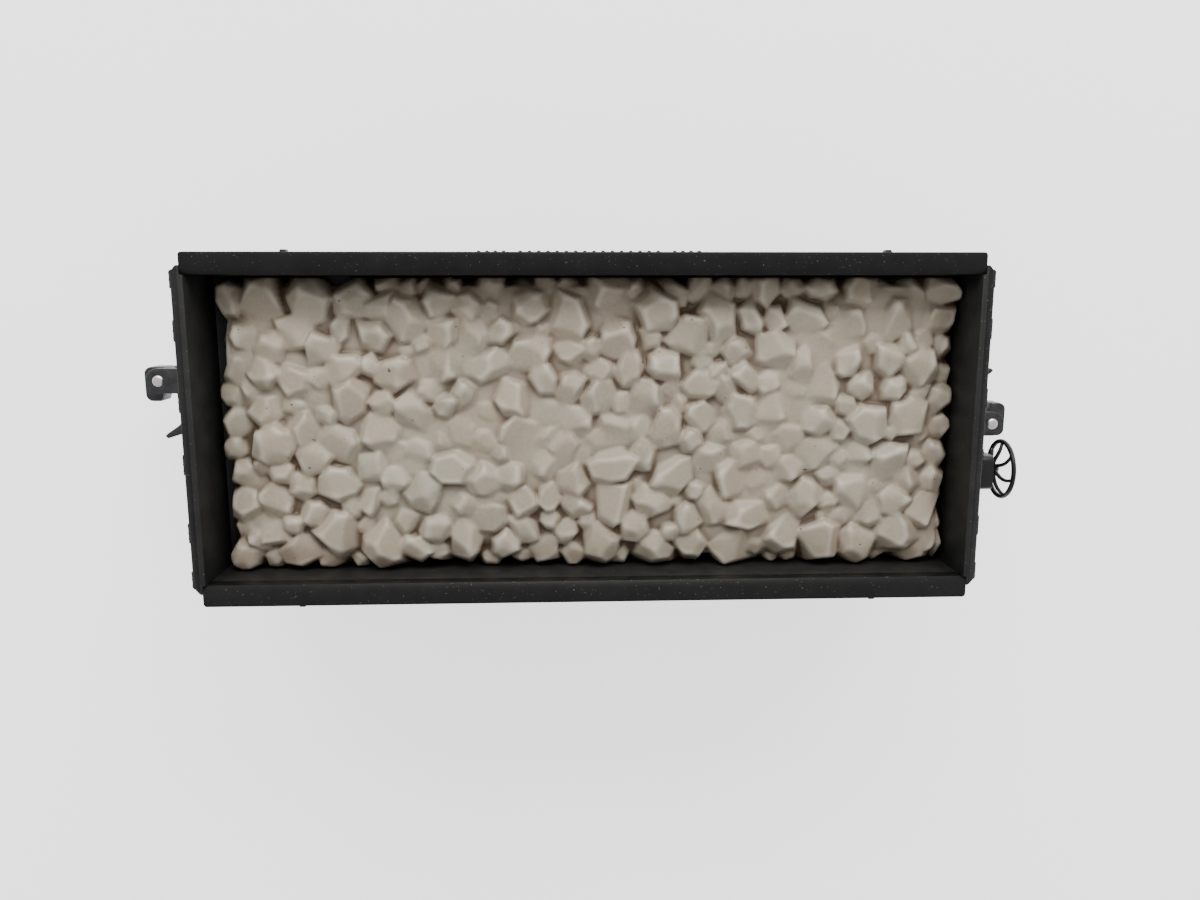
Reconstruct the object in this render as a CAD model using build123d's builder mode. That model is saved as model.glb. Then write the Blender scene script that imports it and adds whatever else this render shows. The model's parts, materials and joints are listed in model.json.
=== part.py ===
# O scale (1:48) open-top ore wagon with a lift-out load of ore.
# X runs along the wagon (the handbrake is at +X), Y across it and Z up.
# The origin is on the surface under the wheel flanges, below the middle of the wagon.
import os
from math import cos, pi, sin

from build123d import *

os.makedirs("parts", exist_ok=True)

# ---- driving dimensions, in millimetres and degrees ----
rim_height = 64.0            # surface to the top of the side chords
rim_length = 136.8
rim_width = 61.6
sheet = 1.1                  # body sheet thickness

chord_width = 3.8            # side chord, with a bevel down to the inside face
chord_flat = 2.5
chord_drop = 0.55
chord_depth = 3.0
chord_corner = 0.6

end_sheet = 1.0              # end wall, set in from the ends of the side chords
end_sheet_inset = 0.6
end_flange = 0.5             # end wall past the outer face of the side sheets
end_chord_reach = 1.4
end_chord_depth = 3.0
end_chord_top = 0.3          # end chord below the top edge of the end wall
end_chord_slope = 0.4
end_chord_chamfer = 1.1

end_post_reach = 1.75
end_post_top = 0.7           # below the top edge of the end wall
end_post_width = 3.6
end_post_places = (5.45, 17.65)
corner_post_inset = 1.5      # from the outer face of the side sheet to the post's middle
end_post_chamfer = 0.8

side_post_depth = 1.5
side_posts_in = ((16.6, 5.6), (34.0, 2.4))     # from the middle of the wagon, and width
side_posts_out = ((17.1, 1.2), (2.0, 3.4))     # from the end of the side chord, and width
lug_width = 1.0
lug_reach = 0.4

rivet_radius = 0.34
rivet_height = 0.25
rivet_taper = 35
rivet_drop = 1.0             # rivet rows below the top of the side chord
cap_rivet_drop = 0.7
centre_rivets = 16
centre_rivet_pitch = 1.56
post_rivets = 4
post_rivet_pitch = 1.4
cap_rivets = 3
cap_rivet_pitch = 1.15

slope_top = 50.0             # top surface of the slope sheet at the end wall
mouth_half_length = 14.5
mouth_half_width = 14.0
mouth_height = 12.2
throat_height = 5.8          # mouth to the foot of the slope sheets
hopper_side_top = 26.0
door_gap = 0.4
door_rib_places = (-8.0, 0.0, 8.0)

sill_bottom = 23.6
sill_top = 29.5
side_sill_reach = 2.3        # past the outer face of the side sheet
sill_web = 0.9
porch = 9.6                  # end wall to the outer face of the end sill
end_sill_thickness = 2.4
centre_sill_half = 4.0
deck_thickness = 0.8
deck_cover = 14.8            # end deck under the slope sheet, in from the end wall's inner face

truck_inset = 32.4           # outer face of the end sill to the truck centre
wheelbase = 33.0
tread_diameter = 17.5
flange_depth = 1.35
flange_width = 1.2
wheel_width = 5.4
back_to_back = 28.0
wheel_rim = 1.5
wheel_dish = 1.2
wheel_edge = 0.3
wheel_draft = 0.4            # slant of the rim and hub down to the plate
flange_tip = 0.4             # from the wheel's back to the flange's outer edge, and its width
flange_root = 0.3
tread_fall = 0.1             # tread cone
hub_radius = 2.9
axle_radius = 1.4
axle_shoulder = 0.9
journal_radius = 1.2
journal_clearance = 0.05
journal_length = 2.4

bolster_half = 4.0
bolster_bottom = 13.2
bolster_top = 21.0
bolster_plate_radius = 5.5
centre_plate_height = 22.3
body_bolster_half = 2.5
strut_width = 2.0
end_sill_round = 0.4
frame_inner = 21.0           # inner face of the truck side frames
frame_thickness = 3.2
frame_box_reach = 2.2
frame_box_half = 3.1
frame_half_length = 20.6
frame_top = 19.6
frame_shoulder = 14.6
frame_foot = 4.8
frame_window_bottom = 7.4
frame_window_top = 18.0
frame_column = 2.4
frame_bar = 2.2              # top and bottom bars at the end of each opening
frame_post = 1.8             # from the axle box to the opening
frame_arch = 1.6             # window top to the top of the opening
frame_tie = 0.6              # window bottom to the bottom of the opening
frame_open_lap = 0.4
frame_box_taper = 12
journal_end_gap = 0.4
bolster_end_reach = 0.5
spring_radius = 1.55
spring_spacing = 4.0

kingpin_radius = 1.5
kingpin_clearance = 0.08
kingpin_head_radius = 2.9
kingpin_head = 1.4
kingpin_gap = 0.15
screw_slot = 0.7
screw_slot_depth = 0.45

coupler_bottom = 13.4
coupler_top = 21.8
ear_thickness = 1.6
ear_clearance = 0.06
shank_half = 3.0
shank_bottom = 15.0
shank_top = 18.6
shank_reach = 6.0            # places along the coupler, past the end sill
shank_root_half = 7.0
shank_lap = 0.2              # back of the head over the end of the shank
knuckle_pivot_reach = 12.6
knuckle_pivot_y = 5.2
knuckle_ahead = 3.5          # front and back of the knuckle from its pivot
knuckle_behind = 1.8
knuckle_outside = 8.1
knuckle_nose = 0.7
ear_radius = 2.7
ear_gap = 2.0                # from the back of the knuckle to the web between the ears
ear_flare = 0.8              # the head widens to the ears over this, twice
knuckle_round = 1.5
knuckle_face = 0.3           # the nose's back face, ahead of the pivot
knuckle_tail = 0.5           # the tail's root, behind the pivot
knuckle_tail_up = 2.0        # tail above the pivot at its root and at its back
knuckle_tail_back = 1.7
rivet_pin_radius = 0.8
rivet_pin_head = 1.25
rivet_pin_cap = 0.4
rivet_pin_taper = 30
pin_clearance = 0.05
throat_behind = 4.8          # back of the throat from the pivot
throat_radius = 4.4
throat_lead = 0.6
throat_lip = 2.0
guard_behind = 1.1
guard_tip_y = 6.7
guard_tip_radius = 0.55
guard_root = 2.3             # guard arm's outer edge in from the tip, where it leaves the shank

plunger_reach = 1.0
plunger_disc_radius = 4.6
plunger_disc_bottom = 5.4
plunger_disc = 1.0
plunger_stem = 0.9
plunger_clearance = 0.06
plunger_head = 0.5
plunger_rest_gap = 0.1       # over the shank, beyond the travel
plunger_travel = 1.2
plunger_round = 0.3
plunger_head_radius = 1.6

brake_y = -9.8
brake_z = 50.0
brake_wheel_radius = 5.8
brake_rim_radius = 0.45
brake_rim_reach = 3.4        # middle of the rim past the gear box
brake_dish = 1.6             # hub nearer the wagon than the rim
brake_hub_radius = 1.1
brake_spokes = 7
brake_shaft_radius = 0.7
brake_shaft_clearance = 0.05
brake_box_depth = 2.8
brake_box_inset = 1.8        # from the outer face of the end sill
brake_box_half = 3.3
brake_box_bottom = 44.6
brake_box_top = 54.4
brake_box_round = 1.2
brake_boss_radius = 2.0
brake_boss = 0.8
brake_bore_floor = 0.6       # left behind the shaft's bore
brake_shaft_gap = 0.2
brake_leg_place = 2.5        # each side of the shaft
brake_leg_width = 1.2
brake_leg_depth = 1.0
brake_leg_lap = 1.0          # up into the gear box
brake_foot_length = 3.0
brake_foot_width = 7.4
brake_foot = 0.8
brake_brace_rise = 2.5       # above the shaft
brake_brace_width = 1.6
brake_brace = 1.0
brake_hub_behind = 0.9
brake_hub = 1.6
brake_spoke_radius = 0.36
brake_spoke_from = 0.6
brake_spoke_bow = 0.16       # radians ahead of straight, half way out

reservoir_radius = 4.2
reservoir_length = 26.0
reservoir_gap = 3.7          # under the slope sheet
cylinder_radius = 3.4
cylinder_length = 13.0
cylinder_gap = 5.2
tank_round = 1.1
tank_lift = 0.6              # above the deck
saddle_width = 1.6
saddle_length = 4.8
saddle_place = 0.6           # part of the half length

bar_radius = 0.4
step_drop = 9.0
step_half = 2.6
step_inset = 5.2
step_tread = 1.8
grab_irons_up = 4            # rungs on each ladder
grab_first = 4.0             # above the deck
grab_height = 5.5

load_clearance = 0.5
load_shift = 0.55
load_length = 133.4
load_bottom = 50.0
load_edge = 56.6
load_shoulder = 58.8
load_crown = 59.5
load_corner = 4.0
shoulder_inset = 3.0
crown_inset_ends = 13.0
crown_inset_sides = 11.0
ledge_reach = 2.2
ledge_height = 2.6
ledge_half = 3.0
ledge_x = 46.0

# ---- sizes that follow ----
inside_half = rim_width / 2 - chord_width
sheet_outer = inside_half + sheet
half_rim = rim_length / 2
end_inner = half_rim - end_sheet_inset
end_outer = end_inner + end_sheet
end_chord_outer = end_outer + end_chord_reach
end_post_outer = end_outer + end_post_reach
chord_bottom = rim_height - chord_depth
mouth_top = mouth_height + throat_height
slope_run = (slope_top - mouth_top) / (end_inner - mouth_half_length)
slope_depth = sheet * (1 + slope_run**2) ** 0.5
sill_outer = sheet_outer + side_sill_reach
end_sill_at = end_outer + porch
end_sill_inner = end_sill_at - end_sill_thickness
deck_inner = end_inner - deck_cover
truck_centre = end_sill_at - truck_inset
step_x = end_sill_at - step_inset
corner_post = sheet_outer - corner_post_inset
side_posts_at = side_posts_in + tuple((half_rim - inset, width) for inset, width in side_posts_out)
ladder_from = half_rim - side_posts_out[0][0]
ladder_to = half_rim - side_posts_out[1][0]
shank_end = end_sill_at + shank_reach
knuckle_pivot_x = end_sill_at + knuckle_pivot_reach
knuckle_front = knuckle_pivot_x + knuckle_ahead
knuckle_back = knuckle_pivot_x - knuckle_behind
throat_back = knuckle_pivot_x - throat_behind
guard_tip_x = knuckle_pivot_x - guard_behind
plunger_x = end_sill_at + plunger_reach
brake_box_front = end_sill_at - brake_box_inset
brake_rim_x = brake_box_front + brake_rim_reach
deck_top = sill_top + deck_thickness
sill_middle = (sill_bottom + sill_top) / 2
side_lean = (inside_half - mouth_half_width) / (hopper_side_top - mouth_height)
slant = sheet * (1 + side_lean**2) ** 0.5
axle_height = tread_diameter / 2 + flange_depth
wheel_inner = back_to_back / 2
wheel_outer = wheel_inner + wheel_width
frame_outer = frame_inner + frame_thickness
journal_end = frame_inner + journal_length
big = 200.0


def slope_x(height):
    """X where the top surface of the slope sheet is at this height."""
    return end_inner - (slope_top - height) / slope_run


def under_slope(x):
    """Height of the underside of the slope sheet above this X."""
    return slope_top - (end_inner - x) * slope_run - slope_depth


def under_slope_x(height):
    """X where the underside of the slope sheet is at this height."""
    return end_inner - (slope_top - slope_depth - height) / slope_run


def save(part, name):
    part.label = name
    export_step(part, f"parts/{name}.step")


def save_turned(part, front_name, rear_name):
    """Writes a part, and its copy turned half a turn about the wagon's middle."""
    with BuildPart() as turned:
        add(part.rotate(Axis.Z, 180))
    save(part, front_name)
    save(turned.part, rear_name)


# ---- body sheets ----
with BuildPart() as side_sheet:
    with BuildSketch(Plane.XZ.offset(-inside_half)):
        with BuildLine():
            foot = under_slope_x(hopper_side_top)
            corner = under_slope(half_rim)
            Polyline(
                (-foot, hopper_side_top),
                (foot, hopper_side_top),
                (half_rim, corner),
                (half_rim, chord_bottom),
                (-half_rim, chord_bottom),
                (-half_rim, corner),
                close=True,
            )
        make_face()
    extrude(amount=-sheet)
    with Locations(
        (-ledge_x, inside_half - ledge_reach / 2, load_bottom - ledge_height / 2),
        (ledge_x, inside_half - ledge_reach / 2, load_bottom - ledge_height / 2),
    ):
        Box(2 * ledge_half, ledge_reach, ledge_height)
save_turned(side_sheet.part, "side_sheet_left", "side_sheet_right")

with BuildPart() as end_wall:
    wall_bottom = slope_top - slope_depth
    with BuildSketch(Plane.XY.offset(wall_bottom)):
        with Locations(((end_inner + end_outer) / 2, 0)):
            Rectangle(end_sheet, 2 * inside_half)
        with Locations(((half_rim + end_outer) / 2, 0)):
            Rectangle(end_outer - half_rim, 2 * (sheet_outer + end_flange))
    extrude(amount=rim_height - wall_bottom)
save_turned(end_wall.part, "end_wall_front", "end_wall_rear")


def outside_hopper():
    """The space outside the two hopper side sheets, as a cutter along X."""
    with BuildPart() as cutter:
        with BuildSketch(Plane.YZ):
            with BuildLine():
                Polyline(
                    (mouth_half_width + slant - mouth_height * side_lean, 0),
                    (inside_half + slant, hopper_side_top),
                    (big, hopper_side_top),
                    (big, 0),
                    close=True,
                )
            make_face()
            mirror(about=Plane.YZ)
        extrude(amount=big, both=True)
    return cutter.part


hopper_outside = outside_hopper()

with BuildPart() as slope_sheet:
    with BuildSketch(Plane.XZ):
        with BuildLine():
            Polyline(
                (end_inner, slope_top),
                (mouth_half_length, mouth_top),
                (mouth_half_length, mouth_top - slope_depth),
                (end_inner, slope_top - slope_depth),
                close=True,
            )
        make_face()
    extrude(amount=inside_half, both=True)
    add(hopper_outside, mode=Mode.SUBTRACT)
save_turned(slope_sheet.part, "slope_sheet_front", "slope_sheet_rear")

with BuildPart() as hopper_throat:
    throat_top = mouth_top - slope_depth
    for end in (-1, 1):
        with Locations((end * (mouth_half_length + sheet / 2), 0, (throat_top + mouth_height) / 2)):
            Box(sheet, 2 * inside_half, throat_top - mouth_height)
    add(hopper_outside, mode=Mode.SUBTRACT)
save(hopper_throat.part, "hopper_throat")

with BuildPart() as hopper_side:
    with BuildSketch(Plane.YZ):
        with BuildLine():
            lower = mouth_half_width + slant
            Polyline(
                (mouth_half_width, mouth_height),
                (inside_half, hopper_side_top),
                (sheet_outer, hopper_side_top),
                (sheet_outer, mouth_height + (sheet_outer - lower) / side_lean),
                (lower, mouth_height),
                close=True,
            )
        make_face()
    extrude(amount=big, both=True)
    with BuildSketch(Plane.XZ):
        with BuildLine():
            shoulder = slope_x(hopper_side_top)
            Polyline(
                (-mouth_half_length, mouth_height),
                (mouth_half_length, mouth_height),
                (mouth_half_length, mouth_top),
                (shoulder, hopper_side_top),
                (-shoulder, hopper_side_top),
                (-mouth_half_length, mouth_top),
                close=True,
            )
        make_face()
    extrude(amount=big, both=True, mode=Mode.INTERSECT)
save_turned(hopper_side.part, "hopper_side_left", "hopper_side_right")

with BuildPart() as hopper_doors:
    door_length = mouth_half_length - door_gap / 2
    door_width = 2 * mouth_half_width
    for end in (-1, 1):
        middle = end * (door_gap / 2 + door_length / 2)
        with Locations((middle, 0, mouth_height - sheet / 2)):
            Box(door_length, door_width, sheet)
        for across in door_rib_places:
            with Locations((middle, across, mouth_height - 1.5 * sheet)):
                Box(door_length - 2 * sheet, sheet, sheet)
save(hopper_doors.part, "hopper_doors")

# ---- rim ----
with BuildPart() as side_chord:
    with BuildSketch(Plane.YZ):
        with BuildLine():
            Polyline(
                (inside_half, chord_bottom),
                (inside_half, rim_height - chord_drop),
                (rim_width / 2 - chord_flat, rim_height),
                (rim_width / 2, rim_height),
                (rim_width / 2, chord_bottom),
                close=True,
            )
        make_face()
    extrude(amount=half_rim, both=True)
    fillet(side_chord.edges().filter_by(Axis.Z).group_by(Axis.Y)[-1], chord_corner)
    for lug_x in (-ladder_from, ladder_from):
        with Locations((lug_x, rim_width / 2 + lug_reach / 2, rim_height - chord_depth / 2)):
            Box(lug_width, lug_reach, chord_depth - 2 * chord_corner)
save_turned(side_chord.part, "side_chord_left", "side_chord_right")

with BuildPart() as end_chord:
    half = sheet_outer + end_flange
    high = rim_height - end_chord_top
    with BuildSketch(Plane.XZ):
        with BuildLine():
            Polyline(
                (end_outer, high - end_chord_depth),
                (end_outer, high),
                (end_chord_outer, high - end_chord_slope),
                (end_chord_outer, high - end_chord_depth),
                close=True,
            )
        make_face()
    extrude(amount=half, both=True)
    corners = end_chord.edges().filter_by(Axis.Z).group_by(Axis.X)[-1]
    chamfer(corners, end_chord_chamfer)
save_turned(end_chord.part, "end_chord_front", "end_chord_rear")

with BuildPart() as end_posts:
    cap_top = rim_height - end_post_top
    chord_foot = rim_height - end_chord_top - end_chord_depth
    for place in (*end_post_places, corner_post):
        foot_height = deck_top if place == corner_post else under_slope(end_inner)
        with BuildSketch(Plane.XZ.offset(-place + end_post_width / 2)):
            with BuildLine():
                Polyline(
                    (end_outer, foot_height),
                    (end_post_outer, foot_height),
                    (end_post_outer, cap_top - end_chord_slope),
                    (end_chord_outer, cap_top - end_chord_slope),
                    (end_chord_outer, chord_foot),
                    (end_outer, chord_foot),
                    close=True,
                )
            make_face()
        extrude(amount=-end_post_width)
    corner_edge = end_posts.edges().filter_by(Axis.Z).group_by(Axis.Y)[-1].group_by(Axis.X)[-1]
    chamfer(corner_edge, end_post_chamfer)
    mirror(about=Plane.XZ)
save_turned(end_posts.part, "end_posts_front", "end_posts_rear")

with BuildPart() as side_posts:
    for place, width in side_posts_at:
        for end in (-1, 1):
            post_foot = deck_top if place > deck_inner else sill_top
            middle = (end * place, sheet_outer + side_post_depth / 2, (post_foot + chord_bottom) / 2)
            with Locations(middle):
                Box(width, side_post_depth, chord_bottom - post_foot)
    mirror(about=Plane.XZ)
save(side_posts.part, "side_posts")


def rivet_dome():
    """A low round rivet head on the XY plane, pointing to +Z."""
    with BuildPart() as dome:
        with BuildSketch(Plane.XY):
            Circle(rivet_radius)
        extrude(amount=rivet_height, taper=rivet_taper)
    return dome.part


with BuildPart() as rim_rivets:
    dome = rivet_dome()
    row_height = rim_height - rivet_drop
    side_places = [(i - (centre_rivets - 1) / 2) * centre_rivet_pitch for i in range(centre_rivets)]
    for end in (-1, 1):
        for i in range(post_rivets):
            shift = (i - (post_rivets - 1) / 2) * post_rivet_pitch
            side_places.append(end * side_posts_in[0][0] + shift)
    side_face = Plane((0, rim_width / 2, row_height), x_dir=(1, 0, 0), z_dir=(0, 1, 0))
    for place in side_places:
        add(side_face.location * Location((place, 0, 0)) * dome)
    end_face = Plane((end_post_outer, 0, 0), x_dir=(0, 1, 0), z_dir=(1, 0, 0))
    cap_row = rim_height - end_post_top - end_chord_slope - cap_rivet_drop
    for place in (*end_post_places, corner_post - end_post_chamfer / 2):
        for i in range(cap_rivets):
            across = place + (i - (cap_rivets - 1) / 2) * cap_rivet_pitch
            for side in (-1, 1):
                add(end_face.location * Location((side * across, cap_row, 0)) * dome)
    half_rivets = rim_rivets.part
    add(half_rivets.rotate(Axis.Z, 180))
save(rim_rivets.part, "rim_rivets")

# ---- underframe ----
with BuildPart() as side_sill:
    with BuildSketch(Plane.YZ):
        with BuildLine():
            Polyline(
                (sheet_outer, sill_bottom),
                (sill_outer, sill_bottom),
                (sill_outer, sill_bottom + sill_web),
                (sheet_outer + sill_web, sill_bottom + sill_web),
                (sheet_outer + sill_web, sill_top - sill_web),
                (sill_outer, sill_top - sill_web),
                (sill_outer, sill_top),
                (sheet_outer, sill_top),
                close=True,
            )
        make_face()
    extrude(amount=end_sill_at, both=True)
save_turned(side_sill.part, "side_sill_left", "side_sill_right")

with BuildPart() as end_sill:
    with Locations(((end_sill_inner + end_sill_at) / 2, 0, sill_middle)):
        Box(end_sill_thickness, 2 * sheet_outer, sill_top - sill_bottom)
    outer = end_sill.faces().sort_by(Axis.X)[-1].edges().filter_by(Axis.Y)
    fillet(outer, end_sill_round)
save_turned(end_sill.part, "end_sill_front", "end_sill_rear")

with BuildPart() as center_sill:
    with BuildSketch(Plane.XZ):
        with BuildLine():
            Polyline(
                (under_slope_x(sill_bottom), sill_bottom),
                (end_sill_inner, sill_bottom),
                (end_sill_inner, sill_top),
                (under_slope_x(sill_top), sill_top),
                close=True,
            )
        make_face()
    extrude(amount=centre_sill_half, both=True)
    with BuildSketch(Plane.XY.offset(centre_plate_height)):
        with Locations((truck_centre, 0)):
            Circle(bolster_plate_radius)
    extrude(amount=sill_bottom - centre_plate_height)
save_turned(center_sill.part, "center_sill_front", "center_sill_rear")

with BuildPart() as body_bolster:
    inner_edge = truck_centre - body_bolster_half
    outer_edge = truck_centre + body_bolster_half
    with Locations((truck_centre, (centre_sill_half + sheet_outer) / 2, sill_middle)):
        Box(2 * body_bolster_half, sheet_outer - centre_sill_half, sill_top - sill_bottom)
    for across in (centre_sill_half + strut_width, inside_half - strut_width):
        with BuildSketch(Plane.XZ.offset(-across + strut_width / 2)):
            with BuildLine():
                Polyline(
                    (inner_edge, sill_top),
                    (outer_edge, sill_top),
                    (outer_edge, under_slope(outer_edge)),
                    (inner_edge, under_slope(inner_edge)),
                    close=True,
                )
            make_face()
        extrude(amount=-strut_width)
    mirror(about=Plane.XZ)
save_turned(body_bolster.part, "body_bolster_front", "body_bolster_rear")

with BuildPart() as end_deck:
    with BuildSketch(Plane.XY.offset(sill_top)):
        with Locations(((deck_inner + end_sill_at) / 2, 0)):
            Rectangle(end_sill_at - deck_inner, 2 * sill_outer)
    extrude(amount=deck_thickness)
save_turned(end_deck.part, "end_deck_front", "end_deck_rear")

with BuildPart() as kingpins:
    for end in (-1, 1):
        with BuildSketch(Plane.XY.offset(centre_plate_height)):
            with Locations((end * truck_centre, 0)):
                Circle(kingpin_radius)
        head_top = bolster_bottom - kingpin_gap
        extrude(amount=-(centre_plate_height - head_top))
        with BuildSketch(Plane.XY.offset(head_top)):
            with Locations((end * truck_centre, 0)):
                Circle(kingpin_head_radius)
        extrude(amount=-kingpin_head)
        with Locations((end * truck_centre, 0, head_top - kingpin_head)):
            Box(2 * kingpin_head_radius, screw_slot, 2 * screw_slot_depth, mode=Mode.SUBTRACT)
save(kingpins.part, "kingpins")


def tank(length, radius, gap, end):
    """A round tank across the wagon on two saddles, standing on an end deck."""
    axis_height = deck_top + radius + tank_lift
    axis_x = under_slope_x(axis_height + (radius + gap) * slope_depth / sheet)
    with BuildPart() as vessel:
        with BuildSketch(Plane.XZ.offset(-length / 2)):
            with Locations((end * axis_x, axis_height)):
                Circle(radius)
        extrude(amount=length)
        fillet(vessel.edges().filter_by(GeomType.CIRCLE), tank_round)
        for side in (-1, 1):
            across = side * saddle_place * length / 2
            with Locations((end * axis_x, across, (deck_top + axis_height) / 2)):
                Box(saddle_length, saddle_width, axis_height - deck_top)
    return vessel.part


save(tank(cylinder_length, cylinder_radius, cylinder_gap, 1), "brake_cylinder")
save(tank(reservoir_length, reservoir_radius, reservoir_gap, -1), "air_reservoir")

with BuildPart() as brake_stand:
    box_x = brake_box_front - brake_box_depth / 2
    with Locations((box_x, brake_y, (brake_box_top + brake_box_bottom) / 2)):
        Box(brake_box_depth, 2 * brake_box_half, brake_box_top - brake_box_bottom)
    fillet(brake_stand.edges().filter_by(Axis.X), brake_box_round)
    with BuildSketch(Plane.YZ.offset(brake_box_front)):
        with Locations((brake_y, brake_z)):
            Circle(brake_boss_radius)
    extrude(amount=brake_boss)
    leg_top = brake_box_bottom + brake_leg_lap
    for side in (-1, 1):
        with Locations((box_x, brake_y + side * brake_leg_place, (deck_top + leg_top) / 2)):
            Box(brake_leg_depth, brake_leg_width, leg_top - deck_top)
    with Locations((box_x, brake_y, deck_top + brake_foot / 2)):
        Box(brake_foot_length, brake_foot_width, brake_foot)
    brace_length = brake_box_front - brake_box_depth - end_outer
    with Locations((end_outer + brace_length / 2, brake_y, brake_z + brake_brace_rise)):
        Box(brace_length, brake_brace_width, brake_brace)
    with BuildSketch(Plane.YZ.offset(brake_box_front + brake_boss)):
        with Locations((brake_y, brake_z)):
            Circle(brake_shaft_radius + brake_shaft_clearance)
    extrude(amount=brake_bore_floor - brake_box_depth - brake_boss, mode=Mode.SUBTRACT)
save(brake_stand.part, "brake_stand")

with BuildPart() as brake_wheel:
    hub_x = brake_rim_x - brake_dish
    shaft_start = brake_box_front - brake_box_depth + brake_bore_floor + brake_shaft_gap
    ring = brake_wheel_radius - brake_rim_radius
    with BuildSketch(Plane((brake_rim_x, brake_y, brake_z), x_dir=(1, 0, 0), z_dir=(0, -1, 0))):
        with Locations((0, ring)):
            Circle(brake_rim_radius)
    revolve(axis=Axis((brake_rim_x, brake_y, brake_z), (1, 0, 0)))
    with BuildSketch(Plane.YZ.offset(hub_x - brake_hub_behind)):
        with Locations((brake_y, brake_z)):
            Circle(brake_hub_radius)
    extrude(amount=brake_hub)
    with BuildSketch(Plane.YZ.offset(shaft_start)):
        with Locations((brake_y, brake_z)):
            Circle(brake_shaft_radius)
    extrude(amount=hub_x - shaft_start)
    for i in range(brake_spokes):
        turn = i * 2 * pi / brake_spokes
        with BuildLine():
            path_points = [
                (hub_x + rise * brake_dish, brake_y + out * cos(angle), brake_z + out * sin(angle))
                for rise, out, angle in (
                    (0.0, brake_spoke_from, turn),
                    (0.3, 0.55 * ring, turn + brake_spoke_bow),
                    (0.95, ring, turn),
                )
            ]
            spoke_path = ThreePointArc(*path_points)
        with BuildSketch(Plane(origin=spoke_path @ 0, z_dir=spoke_path % 0)):
            Circle(brake_spoke_radius)
        sweep(path=spoke_path)
save(brake_wheel.part, "brake_wheel")

with BuildPart() as sill_steps:
    low = sill_bottom - step_drop
    for side in (-1, 1):
        across = side * (sheet_outer + sill_web / 2)
        for end in (-1, 1):
            for edge in (-1, 1):
                with Locations((end * step_x + edge * step_half, across, (low + sill_bottom) / 2)):
                    Box(2 * bar_radius, 2 * bar_radius, sill_bottom - low)
            with Locations((end * step_x, across, low + bar_radius)):
                Box(2 * (step_half + bar_radius), step_tread, 2 * bar_radius)
save(sill_steps.part, "sill_steps")

with BuildPart() as grab_irons:
    bar_length = ladder_to - ladder_from
    post_face = sheet_outer + side_post_depth
    for i in range(grab_irons_up):
        height = deck_top + grab_first + i * grab_height
        with Locations(((ladder_from + ladder_to) / 2, post_face + bar_radius, height)):
            Box(bar_length, 2 * bar_radius, 2 * bar_radius)
    mirror(about=Plane.XZ)
    half_bars = grab_irons.part
    add(half_bars.rotate(Axis.Z, 180))
save(grab_irons.part, "grab_irons")

# ---- load ----
with BuildPart() as ore_load:
    load_half_width = inside_half - load_clearance
    with BuildSketch(Plane.XY.offset(load_bottom)):
        with Locations((load_shift, 0)):
            RectangleRounded(load_length, 2 * load_half_width, load_corner)
    extrude(amount=load_edge - load_bottom)
    with BuildSketch(Plane.XY.offset(load_edge)):
        with Locations((load_shift, 0)):
            RectangleRounded(load_length, 2 * load_half_width, load_corner)
    with BuildSketch(Plane.XY.offset(load_shoulder)):
        with Locations((load_shift, 0)):
            shoulder_length = load_length - 2 * shoulder_inset
            RectangleRounded(shoulder_length, 2 * (load_half_width - shoulder_inset), load_corner)
    with BuildSketch(Plane.XY.offset(load_crown)):
        with Locations((load_shift, 0)):
            crown_length = load_length - 2 * crown_inset_ends
            RectangleRounded(crown_length, 2 * (load_half_width - crown_inset_sides), load_corner)
    loft(ruled=True)
save(ore_load.part, "ore_load")


# ---- trucks: made at +X, and the rear one is the front one turned half a turn ----
def truck_plane(across):
    """Upright plane along the wagon: X from the truck centre and Z, facing -Y."""
    return Plane(origin=(truck_centre, across, 0), x_dir=(1, 0, 0), z_dir=(0, -1, 0))


shoulder_x = wheelbase / 2 - frame_box_half
foot_line = axle_height - frame_box_half
crown_x = bolster_half + frame_column

with BuildPart() as side_frames:
    with BuildSketch(truck_plane(frame_inner)):
        with BuildLine():
            Polyline(
                (-frame_half_length, foot_line),
                (-frame_half_length, frame_shoulder),
                (-shoulder_x, frame_shoulder),
                (-crown_x, frame_top),
                (crown_x, frame_top),
                (shoulder_x, frame_shoulder),
                (frame_half_length, frame_shoulder),
                (frame_half_length, foot_line),
                (shoulder_x - 1.0, foot_line),
                (crown_x, frame_foot),
                (-crown_x, frame_foot),
                (1.0 - shoulder_x, foot_line),
                close=True,
            )
        make_face()
        with Locations((0, (frame_window_bottom + frame_window_top) / 2)):
            Rectangle(2 * bolster_half, frame_window_top - frame_window_bottom, mode=Mode.SUBTRACT)
        for end in (-1, 1):
            with BuildLine():
                Polyline(
                    (end * (crown_x - frame_open_lap), frame_window_bottom + frame_tie),
                    (end * (crown_x - frame_open_lap), frame_window_top - frame_arch),
                    (end * (shoulder_x - frame_post), frame_shoulder - frame_bar),
                    (end * (shoulder_x - frame_post), foot_line + frame_bar),
                    close=True,
                )
            make_face(mode=Mode.SUBTRACT)
    extrude(amount=-frame_thickness)
    with BuildSketch(truck_plane(frame_outer)):
        with GridLocations(wheelbase, 1, 2, 1):
            with Locations((0, axle_height)):
                Rectangle(2 * frame_box_half, 2 * frame_box_half)
    extrude(amount=-frame_box_reach, taper=frame_box_taper)
    with BuildSketch(truck_plane(frame_inner)):
        with GridLocations(wheelbase, 1, 2, 1):
            with Locations((0, axle_height)):
                Circle(journal_radius + journal_clearance)
    extrude(amount=-(journal_length + journal_end_gap), mode=Mode.SUBTRACT)
    mirror(about=Plane.XZ)
save_turned(side_frames.part, "truck_frames_front", "truck_frames_rear")

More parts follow.
